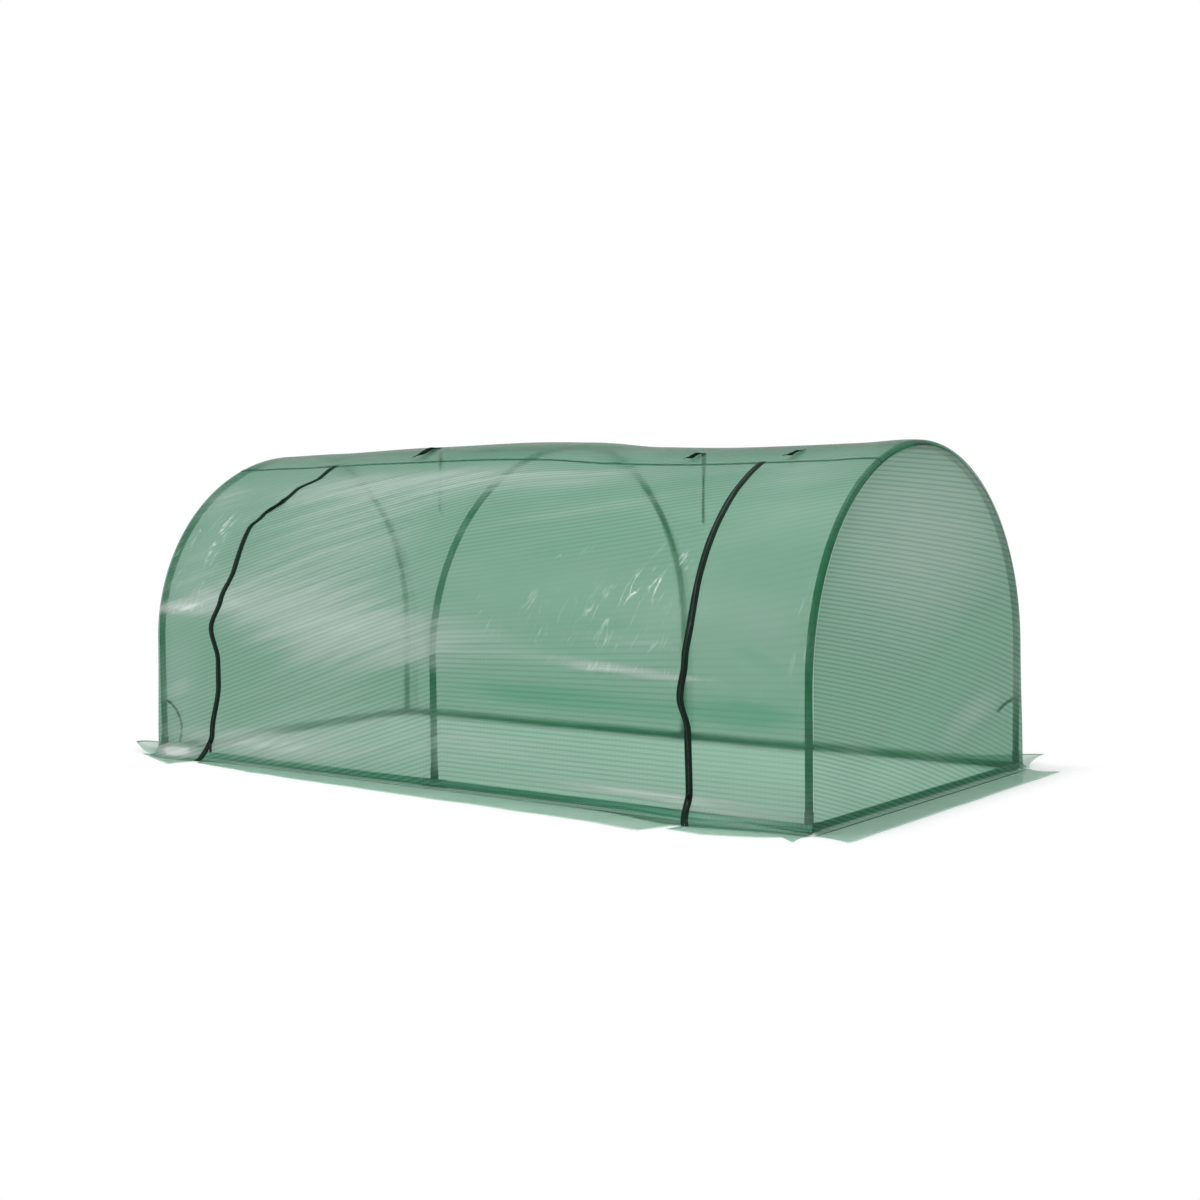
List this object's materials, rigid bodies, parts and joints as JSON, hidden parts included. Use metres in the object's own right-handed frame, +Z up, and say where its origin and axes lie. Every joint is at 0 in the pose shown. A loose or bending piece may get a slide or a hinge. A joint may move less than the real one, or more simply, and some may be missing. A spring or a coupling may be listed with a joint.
{
  "type": "tunnel greenhouse",
  "caption": "Low tunnel greenhouse: tube hoops joined by moulded connectors under a translucent reinforced film cover with ground skirts and a zipped roll-up front door.",
  "frame": {"origin": "on the ground at the middle of the plan, which is the bottom centre of the bounding box", "axes": "+X along the tunnel towards the end by the straight zip, -Y out of the door side, +Z up"},
  "size_m": [2.21, 1.318, 0.8],
  "materials": {
    "steel_tube": "dark green coated steel, satin",
    "connector": "moulded dark green plastic, matt",
    "cover_film": "translucent green grid-reinforced film, glossy with soft creases",
    "zip_tape": "black woven zip tape",
    "zip_metal": "black enamelled metal",
    "tie_webbing": "black webbing"
  },
  "bodies": {
    "frame_and_cover": {"leg_left_front": "steel_tube", "leg_left_back": "steel_tube", "leg_middle_front": "steel_tube", "leg_middle_back": "steel_tube", "leg_right_front": "steel_tube", "leg_right_back": "steel_tube", "arch_left_front": "steel_tube", "arch_left_back": "steel_tube", "arch_middle_front": "steel_tube", "arch_middle_back": "steel_tube", "arch_right_front": "steel_tube", "arch_right_back": "steel_tube", "base_rail_front_left": "steel_tube", "base_rail_front_right": "steel_tube", "base_rail_back_left": "steel_tube", "base_rail_back_right": "steel_tube", "end_rail_left_front": "steel_tube", "end_rail_left_back": "steel_tube", "end_rail_right_front": "steel_tube", "end_rail_right_back": "steel_tube", "ridge_tube_left": "steel_tube", "ridge_tube_right": "steel_tube", "corner_left_front": "connector", "corner_left_back": "connector", "corner_right_front": "connector", "corner_right_back": "connector", "base_tee_front": "connector", "base_tee_back": "connector", "ridge_connector_left": "connector", "ridge_connector_middle": "connector", "ridge_connector_right": "connector", "cover_roof_and_back": "cover_film", "cover_strip_left": "cover_film", "cover_strip_right": "cover_film", "cover_end_left": "cover_film", "cover_end_right": "cover_film", "skirt_back": "cover_film", "skirt_left": "cover_film", "skirt_right": "cover_film", "skirt_front_left": "cover_film", "skirt_front_right": "cover_film", "zip_left_cover_tape": "zip_tape", "zip_right_cover_tape": "zip_tape", "frame_tie_left": "tie_webbing", "frame_tie_right": "tie_webbing"},
    "door": {"door_panel": "cover_film", "door_skirt": "cover_film", "zip_left_door_tape": "zip_tape", "zip_right_door_tape": "zip_tape"},
    "slider_left": {"zip_slider_left": "zip_metal"},
    "slider_right": {"zip_slider_right": "zip_metal"},
    "pull_left": {"zip_pull_left": "zip_metal"},
    "pull_right": {"zip_pull_right": "zip_metal"},
    "tie_left_outer": {"tie_left_outer": "tie_webbing"},
    "tie_left_inner": {"tie_left_inner": "tie_webbing"},
    "tie_middle_outer": {"tie_middle_outer": "tie_webbing"},
    "tie_middle_inner": {"tie_middle_inner": "tie_webbing"},
    "tie_right_outer": {"tie_right_outer": "tie_webbing"}
  },
  "joints": [
    {"name": "door_lift", "type": "hinge", "parent": "frame_and_cover", "child": "door", "pos_m": [0, -0.19134, 0.76194], "axis": [-1, 0, 0], "range_deg": [0, 95]},
    {"name": "slider_left_travel", "type": "slide", "parent": "door", "child": "slider_left", "axis": [0.1061, 0, 0.9944], "range_m": [0, 0.24]},
    {"name": "slider_right_travel", "type": "slide", "parent": "door", "child": "slider_right", "axis": [-0.0702, 0, 0.9975], "range_m": [0, 0.24]},
    {"name": "pull_left_swing", "type": "hinge", "parent": "slider_left", "child": "pull_left", "pos_m": [-0.79274, -0.5051, 0.05], "axis": [-1, 0, 0], "range_deg": [0, 160]},
    {"name": "pull_right_swing", "type": "hinge", "parent": "slider_right", "child": "pull_right", "pos_m": [0.70189, -0.5051, 0.05], "axis": [-1, 0, 0], "range_deg": [0, 160]},
    {"name": "tie_left_outer_lift", "type": "hinge", "parent": "frame_and_cover", "child": "tie_left_outer", "pos_m": [-0.375, -0.06107, 0.7973], "axis": [-1, 0, 0], "range_deg": [0, 150]},
    {"name": "tie_middle_outer_lift", "type": "hinge", "parent": "frame_and_cover", "child": "tie_middle_outer", "pos_m": [0.495, -0.12117, 0.78593], "axis": [-1, 0, 0], "range_deg": [0, 150]},
    {"name": "tie_right_outer_lift", "type": "hinge", "parent": "frame_and_cover", "child": "tie_right_outer", "pos_m": [0.765, -0.12117, 0.78593], "axis": [-1, 0, 0], "range_deg": [0, 150]},
    {"name": "tie_left_inner_swing", "type": "hinge", "parent": "frame_and_cover", "child": "tie_left_inner", "pos_m": [-0.375, -0.06069, 0.79422], "axis": [-1, 0, 0], "range_deg": [-55, 55]},
    {"name": "tie_middle_inner_swing", "type": "hinge", "parent": "frame_and_cover", "child": "tie_middle_inner", "pos_m": [0.495, -0.12042, 0.78292], "axis": [-1, 0, 0], "range_deg": [-55, 55]}
  ]
}
